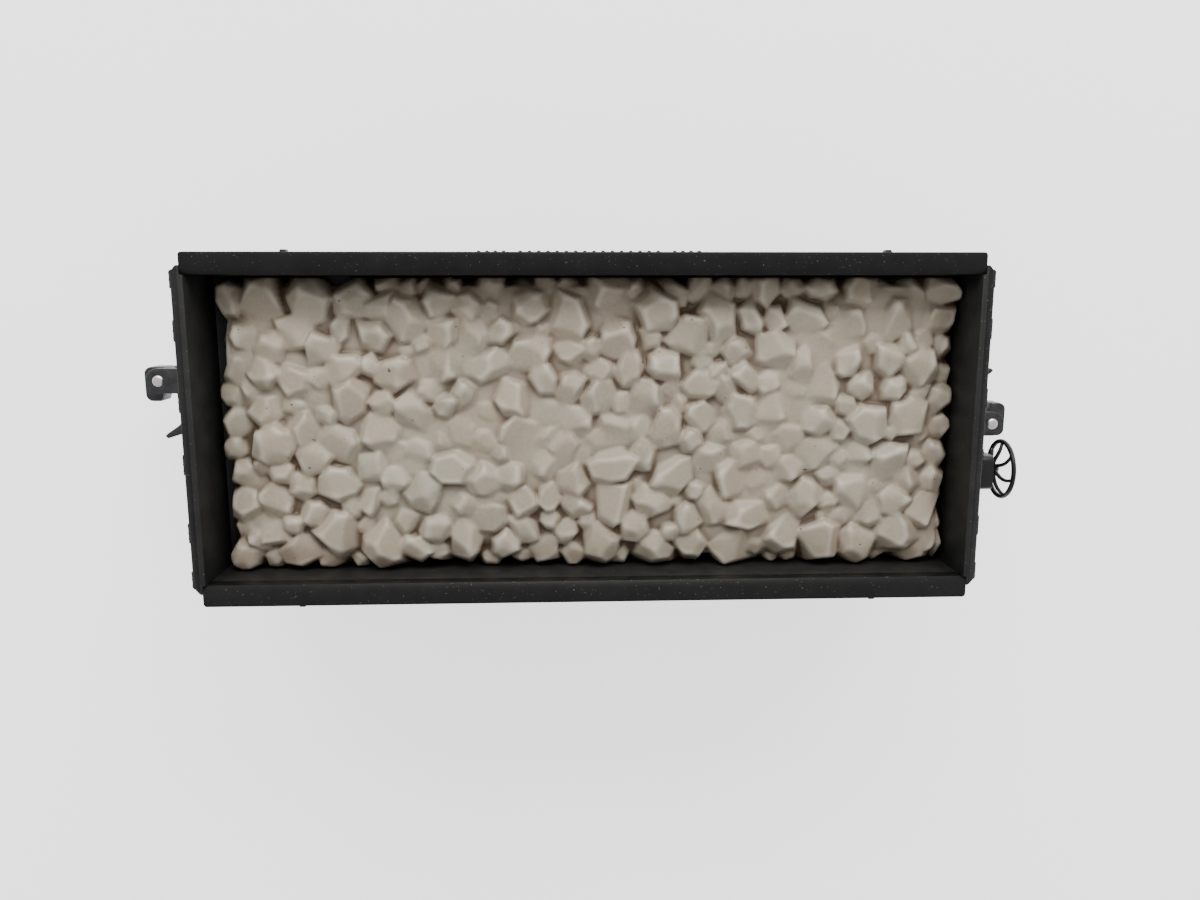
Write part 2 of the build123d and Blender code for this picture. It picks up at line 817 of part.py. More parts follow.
with BuildPart() as truck_bolster:
    with Locations((truck_centre, 0, (bolster_bottom + bolster_top) / 2)):
        Box(2 * bolster_half, 2 * frame_inner, bolster_top - bolster_bottom)
    with Locations((truck_centre, 0, (bolster_bottom + frame_window_top) / 2)):
        end_width = 2 * (frame_outer + bolster_end_reach)
        Box(2 * bolster_half, end_width, frame_window_top - bolster_bottom)
    with BuildSketch(Plane.XY.offset(bolster_top)):
        with Locations((truck_centre, 0)):
            Circle(bolster_plate_radius)
    extrude(amount=centre_plate_height - bolster_top)
    with BuildSketch(Plane.XY.offset(centre_plate_height)):
        with Locations((truck_centre, 0)):
            Circle(kingpin_radius + kingpin_clearance)
    extrude(amount=-(centre_plate_height - bolster_bottom), mode=Mode.SUBTRACT)
save_turned(truck_bolster.part, "truck_bolster_front", "truck_bolster_rear")

with BuildPart() as truck_springs:
    with BuildSketch(Plane.XY.offset(frame_window_bottom)):
        for side in (-1, 1):
            with Locations((truck_centre, side * (frame_inner + frame_thickness / 2))):
                with GridLocations(spring_spacing, 1, 2, 1):
                    Circle(spring_radius)
    extrude(amount=bolster_bottom - frame_window_bottom)
save_turned(truck_springs.part, "truck_springs_front", "truck_springs_rear")

# coupler: in plan the knuckle is on the -Y side at the front end
with BuildPart() as coupler_shank:
    shank_start = truck_centre + bolster_half
    with BuildSketch(Plane.XY.offset(shank_bottom)):
        with BuildLine():
            Polyline(
                (shank_start, -shank_root_half),
                (shank_start, shank_root_half),
                (plunger_x - plunger_disc_radius, shank_half),
                (shank_end, shank_half),
                (shank_end, -shank_half),
                (plunger_x - plunger_disc_radius, -shank_half),
                close=True,
            )
        make_face()
        with Locations((plunger_x, 0)):
            Circle(plunger_stem + plunger_clearance, mode=Mode.SUBTRACT)
    extrude(amount=shank_top - shank_bottom)
save_turned(coupler_shank.part, "coupler_shank_front", "coupler_shank_rear")

with BuildPart() as coupler_head:
    web_x = knuckle_back - ear_gap
    throat_middle = guard_tip_y - throat_radius
    with BuildSketch(Plane.XY.offset(coupler_bottom)):
        with BuildLine():
            throat = ThreePointArc(
                (web_x, throat_middle - throat_radius + throat_lead),
                (throat_back, throat_middle - throat_lead),
                (web_x, throat_middle + throat_lip),
            )
            Polyline(
                throat @ 1,
                (guard_tip_x, guard_tip_y - guard_tip_radius),
                (guard_tip_x + guard_tip_radius, guard_tip_y),
                (guard_tip_x, guard_tip_y + guard_tip_radius),
                (throat_back, guard_tip_y - throat_lead),
                (shank_end + shank_lap, guard_tip_y - guard_root),
                (shank_end, shank_half),
                (shank_end, -shank_half),
                (shank_end + ear_flare, -knuckle_pivot_y),
                (shank_end + 2 * ear_flare, -knuckle_pivot_y - ear_radius),
                (web_x, -knuckle_pivot_y - ear_radius),
                throat @ 0,
            )
        make_face()
    extrude(amount=coupler_top - coupler_bottom)
    for ear_bottom in (coupler_bottom, coupler_top - ear_thickness):
        with BuildSketch(Plane.XY.offset(ear_bottom)):
            with Locations((knuckle_pivot_x, -knuckle_pivot_y)):
                Circle(ear_radius)
            with Locations(((web_x + knuckle_pivot_x) / 2, -knuckle_pivot_y)):
                Rectangle(knuckle_pivot_x - web_x, 2 * ear_radius)
        extrude(amount=ear_thickness)
    with BuildSketch(Plane.XY.offset(coupler_bottom)):
        with Locations((knuckle_pivot_x, -knuckle_pivot_y)):
            Circle(rivet_pin_radius)
    extrude(amount=coupler_top - coupler_bottom, mode=Mode.SUBTRACT)
save_turned(coupler_head.part, "coupler_head_front", "coupler_head_rear")

with BuildPart() as knuckle:
    with BuildSketch(Plane.XY.offset(coupler_bottom + ear_thickness + ear_clearance)):
        with BuildLine():
            Polyline(
                (knuckle_back, -knuckle_outside),
                (knuckle_front, -knuckle_outside),
                (knuckle_front, -knuckle_nose),
                (knuckle_pivot_x + knuckle_face, -knuckle_nose),
                (knuckle_pivot_x - knuckle_tail, -knuckle_pivot_y + knuckle_tail_up),
                (knuckle_back, -knuckle_pivot_y + knuckle_tail_back),
                close=True,
            )
        make_face()
        fillet(vertices().group_by(Axis.X)[-1], knuckle_round)
        fillet(vertices().group_by(Axis.X)[0].sort_by(Axis.Y)[:1], knuckle_round)
        with Locations((knuckle_pivot_x, -knuckle_pivot_y)):
            Circle(rivet_pin_radius + pin_clearance, mode=Mode.SUBTRACT)
    extrude(amount=coupler_top - coupler_bottom - 2 * (ear_thickness + ear_clearance))
save_turned(knuckle.part, "knuckle_front", "knuckle_rear")

with BuildPart() as coupler_rivet:
    with BuildSketch(Plane.XY.offset(coupler_bottom)):
        with Locations((knuckle_pivot_x, -knuckle_pivot_y)):
            Circle(rivet_pin_radius)
    extrude(amount=coupler_top - coupler_bottom)
    with BuildSketch(Plane.XY.offset(coupler_top)):
        with Locations((knuckle_pivot_x, -knuckle_pivot_y)):
            Circle(rivet_pin_head)
    extrude(amount=rivet_pin_cap, taper=rivet_pin_taper)
    with BuildSketch(Plane.XY.offset(coupler_bottom)):
        with Locations((knuckle_pivot_x, -knuckle_pivot_y)):
            Circle(rivet_pin_head)
    extrude(amount=-rivet_pin_cap, taper=rivet_pin_taper)
save_turned(coupler_rivet.part, "coupler_rivet_front", "coupler_rivet_rear")

with BuildPart() as plunger:
    stem_top = shank_top + plunger_travel + plunger_rest_gap
    with BuildSketch(Plane.XY.offset(plunger_disc_bottom)):
        with Locations((plunger_x, 0)):
            Circle(plunger_disc_radius)
    extrude(amount=plunger_disc)
    fillet(plunger.edges().filter_by(GeomType.CIRCLE), plunger_round)
    with BuildSketch(Plane.XY.offset(plunger_disc_bottom + plunger_disc)):
        with Locations((plunger_x, 0)):
            Circle(plunger_stem)
    extrude(amount=stem_top - plunger_disc_bottom - plunger_disc)
    with BuildSketch(Plane.XY.offset(stem_top)):
        with Locations((plunger_x, 0)):
            Circle(plunger_head_radius)
    extrude(amount=plunger_head)
save_turned(plunger.part, "plunger_front", "plunger_rear")

# wheelsets: the four are alike, so one is made at the origin and copied
with BuildPart() as axle:
    with BuildSketch(Plane.XZ):
        Circle(axle_radius)
    extrude(amount=wheel_outer + axle_shoulder, both=True)
    with BuildSketch(Plane.XZ):
        Circle(journal_radius)
    extrude(amount=journal_end, both=True)

tread_radius = tread_diameter / 2
with BuildPart() as wheels:
    with BuildSketch(Plane.XY):
        with BuildLine():
            Polyline(
                (axle_radius, wheel_inner),
                (tread_radius + flange_depth - wheel_edge, wheel_inner),
                (tread_radius + flange_depth, wheel_inner + flange_tip),
                (tread_radius + flange_depth, wheel_inner + 2 * flange_tip),
                (tread_radius + tread_fall, wheel_inner + flange_width + flange_root),
                (tread_radius, wheel_outer - wheel_edge),
                (tread_radius - wheel_edge, wheel_outer),
                (tread_radius - wheel_rim, wheel_outer),
                (tread_radius - wheel_rim - wheel_draft, wheel_outer - wheel_dish),
                (hub_radius + wheel_draft, wheel_outer - wheel_dish),
                (hub_radius, wheel_outer),
                (axle_radius, wheel_outer),
                close=True,
            )
        make_face()
    revolve(axis=Axis.Y)
    mirror(about=Plane.XZ)

for truck_name, truck_end in (("front", 1), ("rear", -1)):
    for axle_name, axle_end in (("outer", 1), ("inner", -1)):
        axle_x = truck_end * (truck_centre + axle_end * wheelbase / 2)
        place = Location((axle_x, 0, axle_height))
        for piece, piece_name in ((axle, "axle"), (wheels, "wheels")):
            with BuildPart() as placed:
                add(place * piece.part)
            save(placed.part, f"{piece_name}_{truck_name}_{axle_name}")
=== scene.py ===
"""Looks of the O scale ore wagon: moulded ore load, softened castings, wheels, springs and materials."""
import json
import math

import bmesh
import bpy
import numpy as np
from mathutils import Matrix, Vector


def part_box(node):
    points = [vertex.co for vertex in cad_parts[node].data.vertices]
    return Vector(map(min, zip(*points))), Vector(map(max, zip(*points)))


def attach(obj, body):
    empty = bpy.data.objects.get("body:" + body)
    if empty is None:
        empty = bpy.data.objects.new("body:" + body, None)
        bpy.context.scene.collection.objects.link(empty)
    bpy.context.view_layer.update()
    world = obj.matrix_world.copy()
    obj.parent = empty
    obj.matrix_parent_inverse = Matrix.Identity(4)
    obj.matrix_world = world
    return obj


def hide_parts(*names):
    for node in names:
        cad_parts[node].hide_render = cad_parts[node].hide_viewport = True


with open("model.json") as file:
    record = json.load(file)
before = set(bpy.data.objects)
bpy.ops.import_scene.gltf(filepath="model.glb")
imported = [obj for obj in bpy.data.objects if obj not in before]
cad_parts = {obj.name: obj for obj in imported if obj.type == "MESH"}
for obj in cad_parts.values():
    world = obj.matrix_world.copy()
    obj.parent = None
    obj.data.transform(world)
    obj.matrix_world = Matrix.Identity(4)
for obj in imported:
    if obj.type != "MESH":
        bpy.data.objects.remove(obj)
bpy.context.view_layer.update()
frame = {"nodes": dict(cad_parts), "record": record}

MM = 0.001
RIM_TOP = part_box("side_chord_left")[1][2]
ENDS = ("front", "rear")

MERGE = 0.002 * MM                      # corners of a CAD mesh closer than this are one corner
FLAT_ANGLE = math.radians(0.6)          # faces that meet at less than this are one face
BEVEL_ANGLE = math.radians(32)          # edges sharper than this are rounded
SMOOTH_ANGLE = math.radians(35)         # edges sharper than this keep a crease in the shading
WHEEL_SIDES = 96                        # steps round a wheel


# ---------------------------------------------------------------- material building
class Nodes:
    """Short names for the shader nodes that the materials here are made of."""

    def __init__(self, name):
        self.material = bpy.data.materials.new(name)
        self.material.use_nodes = True
        self.tree = self.material.node_tree
        self.shader = self.tree.nodes["Principled BSDF"]
        self.place = self.tree.nodes.new("ShaderNodeTexCoord").outputs["Object"]

    def link(self, source, target):
        self.tree.links.new(source, target)

    def set(self, **values):
        for name, value in values.items():
            self.shader.inputs[name.replace("_", " ")].default_value = value

    def noise(self, scale, detail, roughness=0.5, stretch=None):
        node = self.tree.nodes.new("ShaderNodeTexNoise")
        node.inputs["Scale"].default_value = scale
        node.inputs["Detail"].default_value = detail
        node.inputs["Roughness"].default_value = roughness
        source = self.place
        if stretch:
            mapping = self.tree.nodes.new("ShaderNodeMapping")
            mapping.inputs["Scale"].default_value = stretch
            self.link(self.place, mapping.inputs["Vector"])
            source = mapping.outputs["Vector"]
        self.link(source, node.inputs["Vector"])
        return node.outputs["Fac"]

    def ramp(self, value, low, high, at=(0.0, 1.0)):
        """A value or colour that runs from low to high while the input runs over at."""
        node = self.tree.nodes.new("ShaderNodeValToRGB")
        self.link(value, node.inputs["Fac"])
        for element, colour, position in zip(node.color_ramp.elements, (low, high), at):
            if isinstance(colour, (int, float)):
                colour = (colour, colour, colour)
            element.color = (*colour, 1.0)
            element.position = position
        return node.outputs["Color"]

    def mix(self, factor, first, second):
        """Blends two colours; inputs 0, 6 and 7 and output 2 are the node's colour sockets."""
        node = self.tree.nodes.new("ShaderNodeMix")
        node.data_type = "RGBA"
        for value, socket in ((factor, node.inputs[0]), (first, node.inputs[6]), (second, node.inputs[7])):
            if isinstance(value, bpy.types.NodeSocket):
                self.link(value, socket)
            elif isinstance(value, (int, float)):
                socket.default_value = value
            else:
                socket.default_value = (*value, 1.0)
        return node.outputs[2]

    def attribute(self, name):
        node = self.tree.nodes.new("ShaderNodeAttribute")
        node.attribute_name = name
        return node.outputs["Fac"]

    def math(self, operation, first, second):
        """A clamped math node of the given operation on two values or sockets."""
        node = self.tree.nodes.new("ShaderNodeMath")
        node.operation = operation
        node.use_clamp = True
        for value, socket in ((first, node.inputs[0]), (second, node.inputs[1])):
            if isinstance(value, bpy.types.NodeSocket):
                self.link(value, socket)
            else:
                socket.default_value = value
        return node.outputs["Value"]

    def bump(self, value, distance, strength):
        node = self.tree.nodes.new("ShaderNodeBump")
        node.inputs["Distance"].default_value = distance
        node.inputs["Strength"].default_value = strength
        self.link(value, node.inputs["Height"])
        self.link(node.outputs["Normal"], self.shader.inputs["Normal"])

    def edges(self, radius):
        """1 on sharp outer and inner edges, 0 on flat faces."""
        bevel = self.tree.nodes.new("ShaderNodeBevel")
        bevel.samples = 4
        bevel.inputs["Radius"].default_value = radius
        geometry = self.tree.nodes.new("ShaderNodeNewGeometry")
        dot = self.tree.nodes.new("ShaderNodeVectorMath")
        dot.operation = "DOT_PRODUCT"
        self.link(bevel.outputs["Normal"], dot.inputs[0])
        self.link(geometry.outputs["Normal"], dot.inputs[1])
        return self.ramp(dot.outputs["Value"], 1.0, 0.0, at=(0.75, 0.98))


def moulded_plastic(name, colour, wear_colour, roughness=0.5, speck=0.5, gloss=0.3):
    """Satin black moulded plastic: faint mottle, worn edges, dust specks and a fine grain."""
    n = Nodes(name)
    mottle = n.noise(260, 4.0)
    base = n.ramp(mottle, [0.75 * c for c in colour], [1.3 * c for c in colour], at=(0.3, 0.7))
    rubbed = n.math("MULTIPLY", n.edges(0.18 * MM), n.ramp(n.noise(420, 3.0), 0.0, 0.8, at=(0.44, 0.64)))
    base = n.mix(rubbed, base, wear_colour)
    specks = n.ramp(n.noise(3600, 1.0), 0.0, speck, at=(0.73, 0.78))
    base = n.mix(specks, base, (0.20, 0.18, 0.15))
    n.link(base, n.shader.inputs["Base Color"])
    n.link(n.ramp(n.noise(700, 3.0), roughness - 0.07, roughness + 0.1), n.shader.inputs["Roughness"])
    n.set(Specular_IOR_Level=gloss)
    n.bump(n.noise(3200, 2.0), 0.03 * MM, 0.6)
    return n.material


def blackened_metal(name, colour, bright, roughness, metallic):
    """Chemically blackened casting, with brighter metal where it is rubbed."""
    n = Nodes(name)
    base = n.ramp(n.noise(500, 4.0), [0.7 * c for c in colour], [1.4 * c for c in colour], at=(0.3, 0.7))
    rubbed = n.math("MULTIPLY", n.edges(0.2 * MM), n.ramp(n.noise(650, 3.0), 0.0, 0.9, at=(0.45, 0.62)))
    n.link(n.mix(rubbed, base, bright), n.shader.inputs["Base Color"])
    n.link(n.ramp(n.noise(900, 3.0), roughness - 0.1, roughness + 0.12), n.shader.inputs["Roughness"])
    n.set(Metallic=metallic)
    n.bump(n.noise(2400, 3.0), 0.03 * MM, 0.7)
    return n.material


def plain_steel(name, colour, roughness, along=(1.0, 1.0, 1.0)):
    """Turned or drawn steel with fine tool marks."""
    n = Nodes(name)
    marks = n.noise(1600, 3.0, stretch=along)
    tint = n.ramp(marks, [0.8 * c for c in colour], [1.12 * c for c in colour])
    n.link(tint, n.shader.inputs["Base Color"])
    n.link(n.ramp(marks, roughness - 0.08, roughness + 0.14), n.shader.inputs["Roughness"])
    n.set(Metallic=1.0)
    n.bump(marks, 0.01 * MM, 0.6)
    return n.material


def moulded_ore(name):
    """Cast resin ore: waxy beige-grey stones with tiny dark specks, painted shade in the hollows and along
    the walls, and painted highlights on the ridges.
    """
    n = Nodes(name)
    stone = n.ramp(n.attribute("tone"), (0.262, 0.219, 0.164), (0.350, 0.302, 0.232))
    stone = n.mix(n.ramp(n.noise(75, 3.0), 0.0, 0.6, at=(0.40, 0.66)), stone, (0.345, 0.262, 0.190))
    stone = n.mix(n.ramp(n.noise(52, 2.0), 0.0, 0.45, at=(0.45, 0.70)), stone, (0.300, 0.286, 0.222))
    fine = n.noise(1500, 4.0)
    stone = n.mix(n.ramp(fine, 0.0, 0.25, at=(0.35, 0.75)), stone, (0.440, 0.400, 0.320))
    # painted highlight: the ridges of the stones are lightened
    stone = n.mix(n.ramp(n.attribute("ridge_highlight"), 0.0, 0.55, at=(0.15, 0.9)), stone, (0.520, 0.480, 0.400))
    # painted shade: the hollows between the stones are darkened to a deep brown
    cavity_shade = n.ramp(n.attribute("hollow_shade"), 0.0, 0.94, at=(0.06, 0.78))
    stone = n.mix(cavity_shade, stone, (0.085, 0.052, 0.029))
    # painted shade: a darker brown band on the stones along the walls
    stone = n.mix(n.ramp(n.attribute("wall_shade"), 0.0, 0.30), stone, (0.190, 0.125, 0.082))
    specks = n.ramp(n.noise(900, 1.0), 0.0, 0.8, at=(0.775, 0.790))
    stone = n.mix(specks, stone, (0.05, 0.04, 0.03))
    n.link(stone, n.shader.inputs["Base Color"])
    n.link(n.ramp(fine, 0.34, 0.54), n.shader.inputs["Roughness"])
    n.set(Specular_IOR_Level=0.5, Subsurface_Weight=0.12, Subsurface_Scale=0.6 * MM)
    n.shader.inputs["Subsurface Radius"].default_value = (1.0, 0.75, 0.5)
    n.bump(n.noise(900, 5.0, 0.6), 0.09 * MM, 0.5)
    return n.material


def pale_paper(name):
    """The pale surface under the wagon, lit a little from below so that its shadows stay soft."""
    n = Nodes(name)
    shade = n.ramp(n.noise(14, 3.0), (0.86, 0.86, 0.86), (0.90, 0.90, 0.90))
    n.link(shade, n.shader.inputs["Base Color"])
    n.link(shade, n.shader.inputs["Emission Color"])
    n.set(Roughness=0.6, Specular_IOR_Level=0.2, Emission_Strength=1.5)
    n.bump(n.noise(350, 3.0), 0.05 * MM, 0.3)
    return n.material


# painted light: the body plastic gets a lighter black than the rim plastic, which lifts the walls that lie in
# shade inside the wagon
BODY = moulded_plastic("black_body_plastic", (0.0150, 0.0150, 0.0145), (0.036, 0.036, 0.034), gloss=0.25)
RIM = moulded_plastic("black_rim_plastic", (0.0066, 0.0066, 0.0063), (0.044, 0.044, 0.042), 0.42, 0.7, 0.20)
UNDERFRAME = moulded_plastic("black_underframe_plastic", (0.0110,) * 3, (0.036,) * 3, 0.56)
FITTINGS = moulded_plastic("black_fittings_plastic", (0.0080, 0.0080, 0.0084), (0.034,) * 3, 0.38, 0.2)
TRUCK = blackened_metal("blackened_truck_casting", (0.030, 0.030, 0.031), (0.16, 0.15, 0.14), 0.5, 0.4)
COUPLER = blackened_metal("blackened_coupler_casting", (0.034, 0.034, 0.036), (0.22, 0.21, 0.20), 0.4, 0.5)
SPRING = plain_steel("blackened_spring_wire", (0.055,) * 3, 0.42)
RIVET = plain_steel("bright_rivet", (0.78, 0.70, 0.68), 0.28)
PLUNGER = plain_steel("blackened_plunger_steel", (0.12,) * 3, 0.34)
SCREW = plain_steel("blackened_screw", (0.13,) * 3, 0.36)
WHEEL = blackened_metal("blackened_wheel", (0.050, 0.048, 0.046), (0.30, 0.29, 0.28), 0.4, 0.8)
ACROSS_WAGON = (1.0, 8.0, 1.0)          # stretch of the tool marks of parts turned about +Y
TREAD = plain_steel("bright_wheel_tread", (0.150, 0.147, 0.142), 0.30, ACROSS_WAGON)
AXLE = plain_steel("plain_axle_steel", (0.40, 0.39, 0.38), 0.30, ACROSS_WAGON)
ORE = moulded_ore("moulded_ore")
FLOOR = pale_paper("pale_floor")

SLOT_MATERIALS = {
    "body_plastic": BODY, "rim_plastic": RIM, "underframe_plastic": UNDERFRAME, "fittings_plastic": FITTINGS,
    "truck_metal": TRUCK, "coupler_metal": COUPLER, "spring_metal": SPRING, "rivet_metal": RIVET,
    "plunger_metal": PLUNGER, "screw": SCREW, "wheel": WHEEL, "axle": AXLE, "ore": ORE,
}
NODE_SLOT = {row["node"]: row["material_slot"] for row in frame["record"]["subparts"]}
NODE_BODY = {
    node: body
    for body, nodes in frame["record"]["behaviour"]["bodies"].items()
    for node in nodes
}


# ---------------------------------------------------------------- mesh building
def new_piece(name, mesh, body, slot, *materials):
    """Links a mesh as a piece that rides on a body and takes the given materials; slot is not used."""
    piece = bpy.data.objects.new(name, mesh)
    bpy.context.scene.collection.objects.link(piece)
    for material in materials:
        mesh.materials.append(material)
    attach(piece, body)
    return piece


def finish_mesh(bm, name):
    """Turns a bmesh into a mesh that is smooth except across its sharp edges."""
    for face in bm.faces:
        face.smooth = True
    for edge in bm.edges:
        edge.smooth = edge.is_manifold and edge.calc_face_angle(0.0) < SMOOTH_ANGLE
    mesh = bpy.data.meshes.new(name)
    bm.to_mesh(mesh)
    bm.free()
    return mesh


def merged_copy(source):
    """A bmesh of a CAD node's mesh, its doubled corners joined."""
    bm = bmesh.new()
    bm.from_mesh(source.data)
    bmesh.ops.remove_doubles(bm, verts=bm.verts, dist=MERGE)
    return bm


def soften(node, width):
    """Replaces a CAD node with the same shape, its sharp edges rounded as in a moulding."""
    bm = merged_copy(frame["nodes"][node])
    bmesh.ops.dissolve_limit(bm, angle_limit=FLAT_ANGLE, verts=bm.verts, edges=bm.edges)
    sharp = [edge for edge in bm.edges if edge.is_manifold and edge.calc_face_angle(0.0) > BEVEL_ANGLE]
    bmesh.ops.bevel(
        bm, geom=sharp, offset=width, offset_type="OFFSET", segments=2, profile=0.5,
        affect="EDGES", clamp_overlap=True,
    )
    bmesh.ops.recalc_face_normals(bm, faces=bm.faces)
    slot = NODE_SLOT[node]
    piece = new_piece(
        f"{node}_moulded", finish_mesh(bm, node), NODE_BODY[node], slot, SLOT_MATERIALS[slot]
    )
    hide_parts(node)


def lathe(bm, profile, centre, axis, segments):
    """A closed ring of revolution from (radius, height) points; returns its faces, ring by ring."""
    turn = Vector((0, 0, 1)).rotation_difference(Vector(axis)).to_matrix()
    rings = []
    for radius, height in profile:
        ring = []
        for i in range(segments):
            angle = 2 * math.pi * i / segments
            local = Vector((radius * math.cos(angle), radius * math.sin(angle), height))
            ring.append(bm.verts.new(Vector(centre) + turn @ local))
        rings.append(ring)
    faces = []
    for k in range(len(rings)):
        first, second = rings[k], rings[(k + 1) % len(rings)]
        for i in range(segments):
            j = (i + 1) % segments
            faces.append(bm.faces.new((first[i], first[j], second[j], second[i])))
    return faces


def sweep_tube(bm, points, radii, sides):
    """A capped round bar along a list of points; radii is one radius, or one for each point."""
    if not hasattr(radii, "__len__"):
        radii = [radii] * len(points)
    rings = []
    up = Vector((0.3, 0.2, 1.0)).normalized()       # along none of the bars made here
    for i, (point, radius) in enumerate(zip(points, radii)):
        ahead = points[min(i + 1, len(points) - 1)] - points[max(i - 1, 0)]
        ahead.normalize()
        across = ahead.cross(up).normalized()
        over = across.cross(ahead)
        ring = []
        for k in range(sides):
            angle = 2 * math.pi * k / sides
            ring.append(bm.verts.new(point + radius * (math.cos(angle) * across + math.sin(angle) * over)))
        rings.append(ring)
    for first, second in zip(rings, rings[1:]):
        for k in range(sides):
            j = (k + 1) % sides
            bm.faces.new((first[k], first[j], second[j], second[k]))
    bm.faces.new(list(reversed(rings[0])))
    bm.faces.new(rings[-1])


def lumps(node):
    """The low and high corners of each separate lump of a CAD node's mesh."""
    source = frame["nodes"][node]
    bm = merged_copy(source)
    boxes, seen = [], set()
    for start in bm.verts:
        if start in seen:
            continue
        seen.add(start)
        stack, corners = [start], []
        while stack:
            vert = stack.pop()
            corners.append(source.matrix_world @ vert.co)
            for edge in vert.link_edges:
                other = edge.other_vert(vert)
                if other not in seen:
                    seen.add(other)
                    stack.append(other)
        low = Vector(min(c[axis] for c in corners) for axis in range(3))
        high = Vector(max(c[axis] for c in corners) for axis in range(3))
        boxes.append((low, high))
    bm.free()
    return boxes


def replace_node(bm, node, *materials):
    """Makes the finished bmesh stand in for a CAD node."""
    bmesh.ops.recalc_face_normals(bm, faces=bm.faces)
    piece = new_piece(f"{node}_detail", finish_mesh(bm, node), NODE_BODY[node], NODE_SLOT[node], *materials)
    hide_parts(node)


# ---------------------------------------------------------------- the ore load
# Lengths here are in mm.
ORE_SEED = 23
CELL, QUICK_CELL = 0.3, 0.5             # grid of the height field
CORNER_ROUND = 1.6                      # rounding of the load's corners, seen from above
BED_BELOW_TOP = 2.7
EDGE_DROP, EDGE_REACH = 4.2, 4.0        # the bed falls this far towards the walls, over this width
SWELL, SWELL_WIDTH = 0.65, 5.0          # slow unevenness of the bed
GAP_DEPTH, GAP_WIDTH = 14.0, 1.5        # ragged gap between the bed and the walls
STONE_ROUNDS = (                        # tries, smallest and largest size, closeness to the next stone
    (320, 3.1, 4.2, 0.76), (1800, 2.5, 3.2, 0.75), (4200, 1.9, 2.4, 0.75), (1500, 1.3, 1.7, 0.84),
)
EDGE_ROOM = 0.72                        # share of a stone's size that stays inside the load
BIG_STONE, BIG_STONE_ROOM = 3.2, 3.0    # stones over the first size stay this far from the walls
CORNER_ROOM = 4.5
STONE_REACH = 2.4                       # times its size, the window a stone is worked out in
FACET_ROUND = 0.16                      # rounding between the facets of a stone
STONE_SINK = 0.22                       # share of its size that a stone sits below the bed
STONE_FILLET = 0.55                     # fillet where a stone meets what is under it
CREST_MARGIN, CREST_SOFT = 1.3, 1.2     # heights within the margin of the CAD top are eased down
FIELD_BLUR, NEAR_BLUR, WIDE_BLUR, TONE_BLUR = 0.17, 0.9, 2.4, 0.25
WALL_SHADE_WIDTH = 2.6                      # of the band of painted shade along the walls
MIN_THICKNESS = 0.5
UNDERSIDE = {"hollow_shade": 0.3, "ridge_highlight": 0.0, "tone": 0.45, "wall_shade": 0.0}     # an even tone, and even painted shade and highlight, from edge to edge


def blurred(field, sigma):
    """Gaussian blur of a height field, sigma in cells."""
    reach = max(1, int(math.ceil(3 * sigma)))
    kernel = np.exp(-0.5 * (np.arange(-reach, reach + 1) / sigma) ** 2)
    kernel /= kernel.sum()
    padded = np.pad(field, reach, mode="edge")
    rows = np.apply_along_axis(lambda line: np.convolve(line, kernel, mode="valid"), 0, padded)
    return np.apply_along_axis(lambda line: np.convolve(line, kernel, mode="valid"), 1, rows)


def place_stones(rng, half_x, half_y):
    """Centres and half-sizes of the stones: big ones first, then smaller ones in the gaps."""
    stones = []
    for tries, small, large, closeness in STONE_ROUNDS:
        for _ in range(tries):
            size = rng.uniform(small, large)
            x = rng.uniform(-half_x + size * EDGE_ROOM, half_x - size * EDGE_ROOM)
            y = rng.uniform(-half_y + size * EDGE_ROOM, half_y - size * EDGE_ROOM)
            if min(half_x - abs(x), half_y - abs(y)) < BIG_STONE_ROOM and size > BIG_STONE:
                continue
            if abs(x) + abs(y) > half_x + half_y - CORNER_ROOM:
                continue
            if all(math.hypot(x - s[0], y - s[1]) > closeness * (size + s[2]) for s in stones):
                stones.append((x, y, size))
    return stones


def stone_planes(rng, size):
    """Slopes and offsets of the facets of one stone: rows of (slope x, slope y, height)."""
    stretch = rng.uniform(1.0, 1.5)
    semi = np.array((size * stretch ** 0.5, size / stretch ** 0.5, size * rng.uniform(0.55, 0.85)))
    turn = rng.uniform(0, math.pi)
    c, s = math.cos(turn), math.sin(turn)
    planes = []
    facet_rounds = (    # count, lowest and highest tilt in degrees, nearest and farthest reach
        (1, 66, 88, 0.80, 0.92), (int(rng.integers(2, 5)), 40, 66, 0.86, 1.0),
        (int(rng.integers(5, 8)), 10, 30, 0.88, 1.06),
    )
    for count, low, high, near, far in facet_rounds:
        start = rng.uniform(0, 2 * math.pi)
        for i in range(count):
            bearing = start + 2 * math.pi * (i + rng.uniform(-0.32, 0.32)) / count
            lift = math.radians(rng.uniform(low, high))
            normal = np.array((
                math.cos(lift) * math.cos(bearing), math.cos(lift) * math.sin(bearing), math.sin(lift)
            ))
            reach = np.linalg.norm(semi * normal) * rng.uniform(near, far)
            across = (normal[0] * c - normal[1] * s, normal[0] * s + normal[1] * c)
            planes.append((-across[0] / normal[2], -across[1] / normal[2], reach / normal[2]))
    return np.array(planes)


def soft_top(first, second, soft):
    """The higher of two height fields, with a small fillet where they cross."""
    blend = np.clip(0.5 + 0.5 * (second - first) / soft, 0, 1)
    return first * (1 - blend) + second * blend + soft * blend * (1 - blend)


